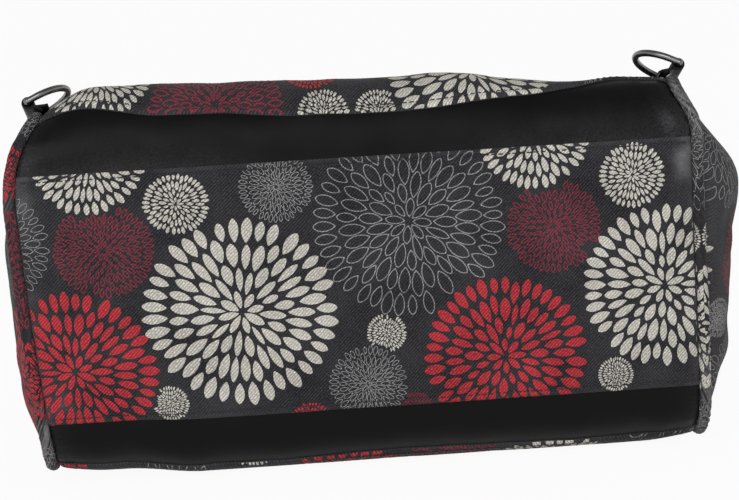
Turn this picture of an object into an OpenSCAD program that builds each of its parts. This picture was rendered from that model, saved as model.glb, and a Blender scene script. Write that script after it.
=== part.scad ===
// Soft tote bag with a printed base between two leather bands, lying on its front panel.
// The base faces -Y, the mouth faces +Y, and the back panel with the strap rings is on top.

/* [Bag] */
// Length of the base between the two end seams
bag_w = 380; // [300:5:460]
// Height of the bag, from its base to its mouth
bag_h = 290; // [220:5:360]
// Flat part of the base across the bag, between the rounded edges
base_flat = 150; // [120:2:190]
// Radius of the rounded edges between the base and the panels
edge_r = 28; // [20:1:40]
// Fall of the back panel from base to mouth, in degrees
back_fall = 20; // [10:1:24]

/* [Fullness] */
// How far the back panel swells above its end seams
back_puff = 11; // [6:0.5:20]
// How far the front panel swells below its end seams
front_puff = 5; // [5:0.5:10]
// Distance from an end seam over which a panel swells
puff_run = 34; // [28:1:60]
// How far each end panel swells outwards near the base
end_puff = 27; // [10:1:36]
// How far each end panel tucks in at the mouth
end_tuck = 25; // [5:1:40]

/* [Cloth and leather] */
// Thickness of the printed cloth with its backing
cloth_t = 1.5; // [1:0.1:2.5]
// Thickness of the leather
leather_t = 1.5; // [1:0.1:2]
// Thickness of the lining
lining_t = 0.8; // [0.5:0.1:1.2]
// Thickness of the board that stiffens the base
board_t = 2.4; // [1.5:0.1:4]
// Height of the printed panel on the base
base_print_h = 144; // [100:2:148]
// Width of each leather band that shows, measured over the rounded edge
band_w = 32; // [22:1:40]
// Overlap where printed cloth is topstitched over leather
lap = 6; // [4:0.5:10]
// Depth of the leather facing inside the mouth
facing_w = 30; // [24:1:50]
// Radius of the piping in the end seams
piping_r = 3.5; // [2:0.25:5]

/* [Print] */
// Thickness of the printed colour on the base panel
print_t = 0.2; // [0.1:0.05:0.4]
// Ground left between neighbouring petals
petal_gap = 1.6; // [1:0.1:3]
// Cloth left plain round the edge of the printed base panel
print_edge = 1; // [0.5:0.5:4]

/* [Strap rings] */
// Inside width of a strap ring
ring_w = 32; // [20:1:40]
// Diameter of the ring's wire
ring_wire = 4; // [3:0.25:5]
// Straight length of the ring between its bar and its round end
ring_leg = 6; // [2:0.5:12]
// Thickness of the leather tab that holds a ring
tab_t = 1.6; // [1.2:0.1:2.4]
// Distance of a ring's bar from the end seam
ring_inset = 2.5; // [0:0.5:6]
// Distance of a ring behind the rounded edge of the base
ring_back = 4; // [2:1:60]
// Least angle at which a ring stands up from the back panel, in degrees
ring_rise = 26; // [0:1:60]

/* [Handles] */
// Diameter of a rolled handle
handle_d = 12; // [8:0.5:16]
// Distance between the two feet of a handle
handle_gap = 150; // [110:5:200]
// Straight length of a handle between the mouth and its round end
handle_leg = 40; // [30:1:70]
// Width of a handle's flat foot
foot_w = 24; // [16:1:30]
// Thickness of a handle's flat foot
foot_t = 3.5; // [2.5:0.25:5]
// Length of a handle's foot sewn inside the mouth
foot_in = 20; // [12:1:24]

/* [Hidden] */

// Gap between sewn pieces that only touch
seat = 0.1;
// Gap under a piece that rests on cloth
rest_gap = 0.3;
// Running gap of a ring's bar in its tab
bar_gap = 0.15;
// Step in radius and overlap where a bent length of piping or wire meets a straight one
bend_step = 0.06;
bend_lap = 0.5;

FRONT = -1;
BACK = 1;
LEFT = -1;
RIGHT = 1;

cloth_colour = [0.17, 0.17, 0.19];
leather_colour = [0.09, 0.09, 0.10];
lining_colour = [0.30, 0.28, 0.26];
board_colour = [0.55, 0.48, 0.38];
metal_colour = [0.62, 0.62, 0.64];
cream_colour = [0.75, 0.73, 0.68];
red_colour = [0.70, 0.16, 0.19];
wine_colour = [0.42, 0.19, 0.23];
grey_colour = [0.52, 0.52, 0.52];

// Flowers on the base panel, each with its place from the panel's middle, radius, rings and turn
cream_flowers = [
    [-72, -12, 52, 3, 8], [168, -12, 45, 3, 20], [92, 78, 26, 2, 0], [-172, 74, 24, 2, 12],
    [-102, 52, 16, 1, 0], [14, -29, 10, 1, 10], [152, 52, 18, 1, 5],
    [138, -62, 9, 1, 0], [-116, -62, 9, 1, 15]
];
red_flowers = [[84, -46, 42.5, 3, 4], [-166, -40, 43, 3, 15]];
wine_flowers = [[-142, 28, 26, 2, 0], [106, 26, 25, 2, 10]];
grey_flowers = [[24, 34, 51.5, 3, 0], [-49, 58, 18.5, 2, 5], [-4, -58, 22, 2, 0]];

// Steps along a panel, over a rounded edge, across an end panel and over a panel's swell
panel_steps = 6;
edge_steps = 6;
end_steps = 8;
swell_steps = 6;

half_flat = base_flat / 2;
half_print = base_print_h / 2;
seam_x = bag_w / 2;
seam_in = piping_r + seat;
sheet_x = seam_x - seam_in;
mid_z = cloth_t + front_puff + edge_r + half_flat;
puff_rise = 60;

// Distance from the middle of the base to the far seam of a band
band_s = half_print + band_w;

// Layers inwards from the cloth of an end panel
facing_in = cloth_t / 2 + leather_t;
lining_out = facing_in + rest_gap;
lining_in = lining_out + lining_t;

// A handle's round end, and how far it reaches past the mouth
handle_r = handle_d / 2;
handle_turn = handle_gap / 2;
reach = handle_leg + handle_turn;

// The bag is centred over the origin, from its piping to the end of the front handle
shift_y = -(bag_h + reach + handle_r - piping_r) / 2;

// Smooth step from 0 to 1
function ease(t) = let (c = min(1, max(0, t))) c * c * (3 - 2 * c);

// Evenly spaced values from a to b
function spread(a, b, n) = [for (i = [0 : n]) a + (b - a) * i / n];

// Values in rising order, each once
function sorted(v) =
    len(v) < 2 ? v :
    let (p = v[floor(len(v) / 2)])
    concat(sorted([for (x = v) if (x < p - 0.001) x]), [p], sorted([for (x = v) if (x > p + 0.001) x]));

// Angle at which a rounded edge runs out into its panel, and the length of that edge
function fall(side) = side == BACK ? back_fall : 0;
function edge_run(side) = edge_r * (90 + fall(side)) * PI / 180;

// Turn of the outline at distance s from the middle of the base, in degrees
function turn(s, side) = min(90 + fall(side), max(0, s - half_flat) / edge_r * 180 / PI);

// Point of the seam outline at distance s from the middle of the base, as [y, z]
function outline(s, side) =
    let (
        angle = turn(s, side),
        past = max(0, s - half_flat - edge_run(side)),
        y = edge_r * (1 - cos(angle)) + past * sin(angle),
        z = min(s, half_flat) + edge_r * sin(angle) + past * cos(angle)
    ) [y, mid_z + side * z];

// Outward direction of the seam outline, as [y, z]
function outward(s, side) = let (angle = turn(s, side)) [-cos(angle), side * sin(angle)];

// Length of the outline from the middle of the base to the mouth
function mouth_s(side) =
    let (turned = half_flat + edge_run(side))
    turned + (bag_h - outline(turned, side)[0]) / cos(fall(side));

// Rise of a panel's swell at distance d inside an end seam, from 0 to 1
function shoulder(d) = sin(90 * min(1, max(0, d - seam_in) / (puff_run - seam_in)));

// Swell of a panel at distance s along it and x along the bag
function swell(s, x, side) =
    (side == BACK ? back_puff : front_puff)
    * ease((s - half_flat) / puff_rise) * shoulder(seam_x - abs(x));

// Point of the bag's body at offset o outwards from the seam outline
function body_point(s, x, side, o) =
    let (p = outline(s, side), n = outward(s, side), d = o + swell(s, x, side))
    [x, p[0] + n[0] * d, p[1] + n[1] * d];

// Distances along one side of the body at which all its layers have their folds
function folds(side) =
    let (turned = half_flat + edge_run(side), end = mouth_s(side))
    sorted(concat(
        [0, half_print - lap, half_print, band_s, band_s + lap, end - facing_w],
        spread(half_flat, turned, edge_steps),
        spread(turned, end, panel_steps)));
function folds_between(s0, s1, side) =
    [for (s = folds(side)) if (s > s0 - 0.001 && s < s1 + 0.001) s];

// Distance of the facing's corners from the end seams
facing_in_x = 6;

// Places along the bag at which all layers of the body have their folds, out to half_x
function across(half_x) =
    let (
        inside = concat([facing_in_x], [for (d = spread(0, puff_run, swell_steps)) if (d > facing_in_x + 1.5) d]),
        steps = [for (d = inside) seam_x - d]
    )
    sorted(concat([-half_x, 0, half_x], steps, -steps));

// Ends of an end panel at share v from base to mouth, on the front and on the back, as [y, z]
function end_rim(v, side) =
    let (s = half_flat + v * (mouth_s(side) - half_flat))
    outline(s, side) - seam_in * outward(s, side);

// Swell of an end panel at share v from base to mouth and share b from front to back
function end_swell(v, b) =
    (end_puff * sin(180 * pow(v, 0.55)) - end_tuck * pow(v, 4))
    * (1 - pow(min(1, abs(2 * b - 1)), 2.5));

// Point of an end panel at offset o outwards, its rim widened by the length extra
function end_point(v, b, end, o, extra) =
    let (
        low = end_rim(v, FRONT),
        high = end_rim(v, BACK),
        more = extra / norm(high - low),
        c = b == 0 ? -more : b == 1 ? 1 + more : b,
        p = low + (high - low) * c
    ) [end * (seam_x + o + end_swell(v, c)), p[0], p[1]];

// Shares of an end panel at which all its layers have their folds
facing_v = 1 - facing_w / (mouth_s(BACK) - half_flat);
lining_v = facing_v + (1 - facing_v) / 2;
turned_v = edge_run(FRONT) / (mouth_s(FRONT) - half_flat);
end_shares = concat(
    spread(0, turned_v, edge_steps),
    [for (v = spread(turned_v, facing_v, panel_steps)) if (v > turned_v) v],
    [lining_v, 1]);
end_columns = spread(0, 1, end_steps);

// Two triangles over four corners
function quad(a, b, c, d, flip) = flip ? [[a, c, b], [a, d, c]] : [[a, b, c], [a, c, d]];

// Closed sheet between an outer and an inner grid of points, each a list of rows
module thick_sheet(outer, inner, flip) {
    rows = len(outer);
    cols = len(outer[0]);
    far = rows * cols;
    faces = [
        for (i = [0 : rows - 2], j = [0 : cols - 2])
            let (a = i * cols + j, b = a + 1, c = b + cols, d = a + cols)
            each concat(quad(a, b, c, d, flip), quad(a + far, b + far, c + far, d + far, !flip)),
        for (i = [0 : rows - 2])
            let (a = i * cols, b = a + cols, c = a + cols - 1, d = c + cols)
            each concat(quad(a, b, b + far, a + far, flip), quad(c, d, d + far, c + far, !flip)),
        for (j = [0 : cols - 2])
            let (a = j, b = a + 1, c = (rows - 1) * cols + j, d = c + 1)
            each concat(quad(a, b, b + far, a + far, !flip), quad(c, d, d + far, c + far, flip))
    ];
    polyhedron(points = [for (g = [outer, inner], row = g, p = row) p], faces = faces, convexity = 6);
}

// Closed ring between an outer and an inner band of points, each a list of rows that close up
module thick_ring(outer, inner) {
    rows = len(outer);
    cols = len(outer[0]);
    far = rows * cols;
    last = (rows - 1) * cols;
    faces = [
        for (i = [0 : rows - 2], j = [0 : cols - 1])
            let (k = (j + 1) % cols, a = i * cols + j, b = i * cols + k, c = b + cols, d = a + cols)
            each concat(quad(a, b, c, d, false), quad(a + far, b + far, c + far, d + far, true)),
        for (j = [0 : cols - 1])
            let (k = (j + 1) % cols)
            each concat(
                quad(j, k, k + far, j + far, true),
                quad(last + j, last + k, last + k + far, last + j + far, false))
    ];
    polyhedron(points = [for (g = [outer, inner], row = g, p = row) p], faces = faces, convexity = 6);
}

// Tube with a width and a height of its own at each point of its centre line
module tube(centres, sizes, sides) {
    last = len(centres) - 1;
    rings = [
        for (i = [0 : last])
            let (
                ahead = centres[min(last, i + 1)] - centres[max(0, i - 1)],
                along = ahead / norm(ahead),
                flat = cross([0, 0, 1], along),
                wide = flat / norm(flat),
                tall = cross(along, wide),
                grow = 0.5 / cos(180 / sides)
            )
            [for (k = [0 : sides - 1])
                let (a = 360 * (k + 0.5) / sides)
                centres[i] + grow * (wide * cos(a) * sizes[i][0] + tall * sin(a) * sizes[i][1])]
    ];
    polyhedron(
        points = [for (ring = rings, p = ring) p],
        faces = concat(
            [[for (k = [0 : sides - 1]) sides - 1 - k]],
            [[for (k = [0 : sides - 1]) last * sides + k]],
            [for (i = [0 : last - 1], k = [0 : sides - 1])
                let (a = i * sides + k, b = i * sides + (k + 1) % sides)
                each quad(a, b, b + sides, a + sides, false)]),
        convexity = 8);
}

// Puts the bag in its place over the origin
module placed() {
    translate([0, shift_y, 0]) children();
}

// Piece of one side of the body from distance s0 to s1, between two offsets
module body_sheet(s0, s1, side, o_in, o_out) {
    xs = across(sheet_x);
    ss = folds_between(s0, s1, side);
    thick_sheet(
        [for (s = ss) [for (x = xs) body_point(s, x, side, o_out)]],
        [for (s = ss) [for (x = xs) body_point(s, x, side, o_in)]],
        side == FRONT);
}

// Piece of an end panel from the base to share v1, between two offsets
module end_sheet(end, v1, o_in, o_out, extra) {
    vs = concat([for (v = end_shares) if (v < v1 - 0.001) v], [v1]);
    bs = end == LEFT ? end_columns : [for (b = end_columns) 1 - b];
    thick_sheet(
        [for (v = vs) [for (b = bs) end_point(v, b, end, o_out, extra)]],
        [for (v = vs) [for (b = bs) end_point(v, b, end, o_in, extra)]],
        true);
}

// Printed panel under the bag, folded and topstitched over both bands
module base_panel() {
    color(cloth_colour) placed()
        translate([-sheet_x, -cloth_t, mid_z - half_print])
            cube([2 * sheet_x, cloth_t, base_print_h]);
}

// One petal along X, pointed at both ends
module petal(length, width) {
    polygon([
        [0, 0], [0.3 * length, -0.46 * width], [0.66 * length, -0.46 * width],
        [length, 0], [0.66 * length, 0.46 * width], [0.3 * length, 0.46 * width]
    ]);
}

// A flower of petals in rings, each ring turned against the one inside it
module flower(radius, rings, turn) {
    for (k = [0 : rings - 1]) {
        count = rings == 1 ? 8 : 6 * (k + 1);
        step = radius / rings;
        middle = (k + 0.55) * step;
        width = 2 * PI * middle / count - petal_gap;
        for (i = [0 : count - 1])
            rotate(turn + 360 * (i + 0.5 * k) / count)
                translate([k * step + petal_gap, 0]) petal(step - petal_gap / 2, width);
    }
}

// One colour of the print, laid on the base panel and cut off at its edges
module print_of(flowers, colour) {
    color(colour) placed()
        translate([0, -cloth_t, mid_z])
            rotate([90, 0, 0])
                linear_extrude(print_t)
                    intersection() {
                        square([2 * (sheet_x - print_edge), base_print_h - 2 * print_edge], center = true);
                        for (f = flowers) translate([f[0], f[1]]) flower(f[2], f[3], f[4]);
                    }
}

// Stiff board behind the printed base panel
module base_board() {
    half = half_print - lap - rest_gap;
    color(board_colour) placed()
        translate([-sheet_x, 0, mid_z - half])
            cube([2 * sheet_x, board_t, 2 * half]);
}

// Leather band round one long edge of the base, with a flange under the cloth on both sides
module band(side) {
    color(leather_colour) placed()
        body_sheet(half_print - lap, band_s + lap, side, -leather_t, 0);
}

// Printed panel from a band to the mouth
module panel(side) {
    color(cloth_colour) placed()
        body_sheet(band_s, mouth_s(side), side, 0, cloth_t);
}

// Printed end panel between the front, the base and the back
module gusset(end) {
    color(cloth_colour) placed()
        end_sheet(end, 1, -cloth_t / 2, cloth_t / 2, 0);
}

// Cloth-covered piping that runs from mouth to mouth round an end panel
module piping(end) {
    color(cloth_colour) placed() translate([end * seam_x, 0, 0]) {
        translate([0, 0, mid_z - half_flat - bend_lap])
            cylinder(r = piping_r, h = base_flat + 2 * bend_lap, $fn = 32);
        for (side = [FRONT, BACK]) {
            angle = 90 + fall(side);
            start = outline(half_flat + edge_run(side), side);
            straight = mouth_s(side) - half_flat - edge_run(side);
            translate([0, edge_r, mid_z + side * half_flat])
                rotate([90, 0, 90])
                    rotate([0, 0, side == BACK ? 180 - angle : 180])
                        rotate_extrude(angle = angle, $fn = 64)
                            translate([edge_r, 0]) circle(r = piping_r - bend_step, $fn = 32);
            translate([0, start[0], start[1]])
                rotate([-angle, 0, 0]) translate([0, 0, -bend_lap])
                    cylinder(r = piping_r, h = straight + bend_lap, $fn = 32);
        }
    }
}

// Lining of the front, the base and the back in one length
module body_lining() {
    xs = across(seam_x - lining_in - rest_gap);
    o = -(board_t + rest_gap);
    low = folds_between(1, mouth_s(FRONT) - facing_w - 1, FRONT);
    high = folds_between(0, mouth_s(BACK) - facing_w - 1, BACK);
    places = concat(
        [[mouth_s(FRONT) - facing_w - rest_gap, FRONT]],
        [for (i = [len(low) - 1 : -1 : 0]) [low[i], FRONT]],
        [for (s = high) [s, BACK]],
        [[mouth_s(BACK) - facing_w - rest_gap, BACK]]);
    color(lining_colour) placed()
        thick_sheet(
            [for (p = places) [for (x = xs) body_point(p[0], x, p[1], o)]],
            [for (p = places) [for (x = xs) body_point(p[0], x, p[1], o - lining_t)]],
            false);
}

// Lining of an end panel
module end_lining(end) {
    color(lining_colour) placed()
        end_sheet(end, facing_v - 0.004, -lining_in, -lining_out, seam_in - board_t - rest_gap);
}

// Leather facing sewn inside the mouth, all the way round
module mouth_facing() {
    xs = across(seam_x - facing_in_x);
    back = [for (x = xs) [x, BACK]];
    front = [for (i = [len(xs) - 1 : -1 : 0]) [xs[i], FRONT]];
    right = [for (b = end_columns) [1 - b, RIGHT]];
    left = [for (b = end_columns) [b, LEFT]];
    trim = -(facing_in_x - seam_in);
    color(leather_colour) placed()
        thick_ring(
            [for (v = [facing_v, lining_v, 1]) facing_row(v, 0, back, right, front, left, trim)],
            [for (v = [facing_v, lining_v, 1]) facing_row(v, -leather_t, back, right, front, left, trim)]);
}

// One row of the facing, round the mouth
function facing_row(v, o, back, right, front, left, trim) =
    let (depth = facing_w * (1 - v) / (1 - facing_v))
    concat(
        [for (p = back) body_point(mouth_s(BACK) - depth, p[0], BACK, o)],
        [for (p = right) end_point(v, p[0], RIGHT, o - cloth_t / 2, trim)],
        [for (p = front) body_point(mouth_s(FRONT) - depth, p[0], FRONT, o)],
        [for (p = left) end_point(v, p[0], LEFT, o - cloth_t / 2, trim)]);

// Middle of a handle's foot at distance d inside the mouth
function foot(d, x, side) =
    body_point(mouth_s(side) - d, x, side, -(leather_t + seat + foot_t / 2));

// Half of a handle from its foot to the middle of its round end, on the side of positive x
function handle_line(side) =
    side == FRONT ? concat(
        [for (d = [foot_in, foot_in / 2, 0]) foot(d, handle_turn, FRONT)],
        [for (y = spread(handle_leg / 2, handle_leg, 1)) [handle_turn, bag_h + y, handle_r]],
        [for (a = spread(0, 90, 9)) if (a > 0)
            [handle_turn * cos(a), bag_h + handle_leg + handle_turn * sin(a), handle_r]]) :
    let (
        bend_r = 1.2 * handle_d,
        lead = foot(-4, handle_turn, BACK),
        leg = handle_leg - 4 - bend_r,
        drop = lead[2] - bend_r - handle_r - 1,
        hang = min(72, asin(min(1, drop / (leg + handle_turn)))),
        bent = lead + bend_r * [0, sin(hang) - sin(back_fall), cos(hang) - cos(back_fall)],
        down = [0, cos(hang), -sin(hang)]
    ) concat(
        [for (d = [foot_in, foot_in / 2, 0]) foot(d, handle_turn, BACK)],
        [for (a = spread(back_fall, hang, 4))
            lead + bend_r * [0, sin(a) - sin(back_fall), cos(a) - cos(back_fall)]],
        [for (a = spread(0, 90, 9))
            bent + down * (leg + handle_turn * sin(a)) - [handle_turn * (1 - cos(a)), 0, 0]]);

// Rolled leather handle with two flat feet sewn to the facing
module handle(side) {
    half = handle_line(side);
    last = len(half) - 1;
    line = concat(half, [for (i = [last - 1 : -1 : 0]) [-half[i][0], half[i][1], half[i][2]]]);
    sizes = [
        for (i = [0 : len(line) - 1])
            let (from_end = min(i, len(line) - 1 - i), round = ease((from_end - 2) / 3))
            [foot_w + (handle_d - foot_w) * round, foot_t + (handle_d - foot_t) * round]
    ];
    color(leather_colour) placed() tube(line, sizes, 10);
}

// Strap rings: sizes of the tab's loop and of the ring round its bar
wire_r = ring_wire / 2;
bore_r = wire_r + bar_gap;
loop_r = bore_r + tab_t;
tab_w = ring_w - 2;
turn_r = (ring_w + ring_wire) / 2;
ring_reach = ring_leg + turn_r;

// Height of the back panel's cloth at distance d inside an end seam
function cloth_z(d) = cloth_t + back_puff * shoulder(d);

// Height of a ring's bar that lets the loop clear piping and cloth, and the angle at which the ring lies
over_cloth = max([
    for (d = spread(0, loop_r, 6)) cloth_z(ring_inset + d) + sqrt(max(0, loop_r * loop_r - d * d))
]);
over_piping = sqrt(pow(loop_r + piping_r, 2) - pow(ring_inset, 2));
bar_z = rest_gap + max(over_cloth, over_piping);
lie_z = cloth_z(ring_inset + ring_reach) + 1.05 * wire_r + 2 * rest_gap;
lie_angle = max(ring_rise, atan2(lie_z - bar_z, ring_reach));

// Puts a piece on the end seam of the back panel, its X inwards, its Y to the mouth
module at_ring(end) {
    p = outline(half_flat + edge_run(BACK) + ring_back, BACK);
    placed() translate([end * seam_x, p[0], p[1]])
        rotate([-back_fall, 0, 0])
            mirror([end == RIGHT ? 1 : 0, 0, 0])
                children();
}

// Leather tab folded round the bar of a ring and sewn into the end seam
module ring_tab(end) {
    seam_d = seam_in + 2 * rest_gap;
    sewn_d = seam_d + 2 * tab_t;
    color(leather_colour) at_ring(end) difference() {
        union() {
            translate([ring_inset, tab_w / 2, bar_z])
                rotate([90, 0, 0]) cylinder(r = loop_r, h = tab_w, $fn = 48);
            translate([0, tab_w / 2, 0])
                rotate([90, 0, 0])
                    linear_extrude(tab_w)
                        polygon([
                            [seam_d, cloth_z(seam_d) + 2 * rest_gap],
                            [sewn_d, cloth_z(sewn_d) + 2 * rest_gap],
                            [ring_inset + loop_r - 0.2, bar_z],
                            [ring_inset + 0.1, bar_z - loop_r + 0.4]
                        ]);
        }
        translate([ring_inset, tab_w / 2 + 1, bar_z])
            rotate([90, 0, 0]) cylinder(r = bore_r, h = tab_w + 2, $fn = 48);
    }
}

// D-shaped wire ring that swings on its straight bar
module ring(end) {
    color(metal_colour) at_ring(end)
        translate([ring_inset, 0, bar_z])
            rotate([0, -lie_angle, 0]) {
                translate([0, turn_r, 0])
                    rotate([90, 0, 0]) cylinder(r = wire_r, h = 2 * turn_r, $fn = 32);
                for (y = [-turn_r, turn_r]) {
                    translate([0, y, 0]) sphere(r = wire_r + bend_step, $fn = 32);
                    translate([0, y, 0])
                        rotate([0, 90, 0]) cylinder(r = wire_r - bend_step, h = ring_leg, $fn = 32);
                }
                translate([ring_leg, 0, 0])
                    rotate([0, 0, -90])
                        rotate_extrude(angle = 180, $fn = 64)
                            translate([turn_r, 0]) circle(r = wire_r, $fn = 32);
            }
}

base_panel();
print_of(cream_flowers, cream_colour);  // cream_print
print_of(red_flowers, red_colour);  // red_print
print_of(wine_flowers, wine_colour);  // wine_print
print_of(grey_flowers, grey_colour);  // grey_print
base_board();
band(FRONT);  // front_band
band(BACK);  // back_band
panel(FRONT);  // front_panel
panel(BACK);  // back_panel
gusset(LEFT);  // left_gusset
gusset(RIGHT);  // right_gusset
piping(LEFT);  // left_piping
piping(RIGHT);  // right_piping
body_lining();
end_lining(LEFT);  // left_lining
end_lining(RIGHT);  // right_lining
mouth_facing();
handle(FRONT);  // front_handle
handle(BACK);  // back_handle
ring_tab(LEFT);  // left_ring_tab
ring_tab(RIGHT);  // right_ring_tab
ring(LEFT);  // left_ring
ring(RIGHT);  // right_ring
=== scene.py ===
# %% [markdown]
# A printed tote bag lies on its front panel, with its underside towards the camera. The underside is
# one printed panel between two leather bands, and cloth-covered piping closes both ends.
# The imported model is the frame: every piece made here sits where its solid sits, in metres, and rides
# on the same body. A bag could be sculpted by hand; here each panel is a surface with a formula, so
# that cloth, print and stitches follow the same folds and stay in contact.

import math

import bpy
import numpy as np
from mathutils import Matrix, Vector


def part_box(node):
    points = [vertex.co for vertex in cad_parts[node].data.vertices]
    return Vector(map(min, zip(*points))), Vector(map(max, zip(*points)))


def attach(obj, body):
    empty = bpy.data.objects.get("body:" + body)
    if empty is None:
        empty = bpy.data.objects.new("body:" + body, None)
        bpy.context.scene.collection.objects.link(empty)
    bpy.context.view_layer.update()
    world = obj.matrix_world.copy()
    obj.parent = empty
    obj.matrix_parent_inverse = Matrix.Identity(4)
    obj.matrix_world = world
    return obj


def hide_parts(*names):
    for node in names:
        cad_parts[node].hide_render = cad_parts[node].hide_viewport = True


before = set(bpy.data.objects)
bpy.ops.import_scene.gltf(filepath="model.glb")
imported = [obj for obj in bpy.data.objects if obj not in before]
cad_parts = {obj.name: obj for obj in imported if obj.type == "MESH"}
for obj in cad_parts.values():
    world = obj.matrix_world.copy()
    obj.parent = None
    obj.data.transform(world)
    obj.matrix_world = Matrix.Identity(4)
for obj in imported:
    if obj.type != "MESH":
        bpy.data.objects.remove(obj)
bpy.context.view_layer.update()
bpy.context.scene.view_settings.view_transform = "Standard"

# %% [markdown]
# The sizes are those of the solids, in millimetres. The bag is described as it is sewn: a distance s
# runs from the middle of the base over the rounded edge and up a panel, and x runs along the bag.

# %% Sizes of the bag
MM = 0.001
FRONT, BACK = -1, 1
LEFT, RIGHT = -1, 1
bag_h = 290.0
half_flat = 75.0
edge_r = 28.0
back_fall = math.radians(20)
back_puff, front_puff = 11.0, 5.0
puff_run, puff_rise = 34.0, 60.0
cloth_t, leather_t, board_t = 1.5, 1.5, 2.4
half_print, band_w, lap = 72.0, 32.0, 6.0
facing_w, piping_r = 30.0, 3.5
seam_x = 190.0
sheet_x = seam_x - piping_r - 0.1
mid_z = cloth_t + front_puff + edge_r + half_flat
band_s = half_print + band_w
shift_y = 1000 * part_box("base_panel")[1][1]

# %% [markdown]
# The photograph is taken from a little above the base and a little to its left, with the camera
# slightly tilted, so the bag's long edges rise to the right. A camera matrix is built from those
# three angles, because an aim constraint would not keep the tilt.

# %% Camera
view_turn, view_rise, view_tilt = math.radians(-2.8), math.radians(7.5), math.radians(3.3)
view_far, view_lens = 1.2, 103.3
view_at = Vector((0.001, -0.2052, 0.1283))
away = Vector(
    (
        math.sin(view_turn) * math.cos(view_rise),
        -math.cos(view_turn) * math.cos(view_rise),
        math.sin(view_rise),
    )
)
level = Vector((0, 0, 1)).cross(away).normalized()
upright = away.cross(level)
right = level * math.cos(view_tilt) - upright * math.sin(view_tilt)
up = level * math.sin(view_tilt) + upright * math.cos(view_tilt)
camera = bpy.data.objects.new("camera", bpy.data.cameras.new("camera"))
aim = Matrix((right, up, away)).transposed().to_4x4()
camera.matrix_world = Matrix.Translation(view_at + view_far * away) @ aim
camera.data.lens = view_lens
camera.data.sensor_width = 36
bpy.context.scene.collection.objects.link(camera)
bpy.context.scene.camera = camera
print("camera stands at", [round(c, 3) for c in camera.matrix_world.translation])

# %% [markdown]
# The outline of the bag in a cut across it is a flat base, two rounded edges and two straight panels.
# Everything sewn to it is an offset of this line, so one function gives the place of any layer.

# %% Outline and fullness


def ease(t):
    c = np.clip(t, 0.0, 1.0)
    return c * c * (3 - 2 * c)


def turned_s(side):
    return half_flat + edge_r * (math.pi / 2 + (back_fall if side == BACK else 0))


def outline(s, side):
    angle = np.clip((s - half_flat) / edge_r, 0, (turned_s(side) - half_flat) / edge_r)
    past = np.maximum(0, s - turned_s(side))
    y = edge_r * (1 - np.cos(angle)) + past * np.sin(angle)
    z = np.minimum(s, half_flat) + edge_r * np.sin(angle) + past * np.cos(angle)
    return y, mid_z + side * z, -np.cos(angle), side * np.sin(angle)


def mouth_s(side):
    y = float(outline(np.array(turned_s(side)), side)[0])
    return turned_s(side) + (bag_h - y) / (math.cos(back_fall) if side == BACK else 1)


def shoulder(d):
    return np.sin(math.pi / 2 * np.clip((d - seam_x + sheet_x) / (puff_run - seam_x + sheet_x), 0, 1))


print("panels run to", round(mouth_s(FRONT), 1), "and", round(mouth_s(BACK), 1), "mm")

# %% [markdown]
# The real bag doesn't lie evenly. Its left end leans out beside the base, both ends draw in over the
# upper edge, its right half has slumped, and the seam of the upper band wanders: it sags in the middle
# and is pulled back over the edge on the right. One lower corner lifts off the table. These are soft
# shifts of up to 14 millimetres over the even shape. Each is given at a few places along a line, and a
# running mean rounds the corners between them.

# %% Lean and slump
ticks = np.arange(-460.0, 461.0)
round_by = 9


def rounded(places, values):
    flat = np.interp(ticks, places, values)
    padded = np.pad(flat, round_by, mode="edge")
    return np.convolve(padded, np.full(2 * round_by + 1, 1 / (2 * round_by + 1)), mode="valid")


lean_line = {
    LEFT: rounded(
        [-120, -88, -54, -20, 17, 60, 80, 96, 110, 124, 160, 230],
        [-2, -1.5, 2, 5, 7.5, 9.5, 6.5, -0.5, -7, -7, -3, 0],
    ),
    RIGHT: rounded(
        [-100, -40, 20, 64, 80, 100, 114, 150, 230],
        [0, 0.5, 0.3, 0.5, 0.6, -8, -7.5, -5, 0],
    ),
}
slump_line = rounded(
    [-190, -120, -60, 0, 40, 68, 95, 125, 190],
    [1.3, 1.38, 1.26, 1.02, 1.06, 0.92, 0.5, 0.13, 0.1],
)
pull_line = rounded(
    [-190, -152, -124, -67, -39, 12, 35, 65, 102, 131, 153, 190],
    [4, 2, -3.5, -4.8, -7.8, -8.4, -8, -5.5, -1.2, 5.5, 13, 14],
)
pull_run, pull_fade = 29.0, 110.0
corner_rise, corner_x, corner_run, corner_z = 4.5, -100.0, 45.0, 70.0


def lean(p, end):
    return np.interp(p, ticks, lean_line[end])


def pulled(s, x):
    held = ease((s - half_flat) / pull_run) * (1 - ease((s - pull_fade) / pull_fade))
    return s + np.interp(x, ticks, pull_line) * held


def lifted(p):
    rise = corner_rise * ease((corner_x - p[..., 0]) / corner_run) * (1 - ease(p[..., 2] / corner_z))
    return p + rise[..., None] * [0, 0, 1]


def swell(s, x, side):
    even = ease((s - half_flat) / puff_rise) * shoulder(seam_x - np.abs(x))
    slumped = 1 + (np.interp(x, ticks, slump_line) - 1) * (1 - ease((s - 140) / 90))
    return even * (back_puff * slumped if side == BACK else front_puff)


print("the left end leans out by up to", round(float(lean_line[LEFT].max()), 1), "mm")

# %% [markdown]
# Real cloth is never as even as its pattern. A sum of a few waves with fixed random directions gives
# smooth dents that come out the same on every run, at any size that is asked for.

# %% Soft dents


def ripples(u, v, size, seed, count=7):
    rng = np.random.default_rng(seed)
    total = 0
    for _ in range(count):
        heading, phase = rng.uniform(0, 2 * math.pi, 2)
        rate = 2 * math.pi / size * rng.uniform(0.6, 1.5)
        total = total + np.sin(rate * (u * math.cos(heading) + v * math.sin(heading)) + phase)
    return total / math.sqrt(count)


def by_seam(x, reach):
    return np.exp(-(sheet_x - np.abs(x)) / reach)


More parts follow.
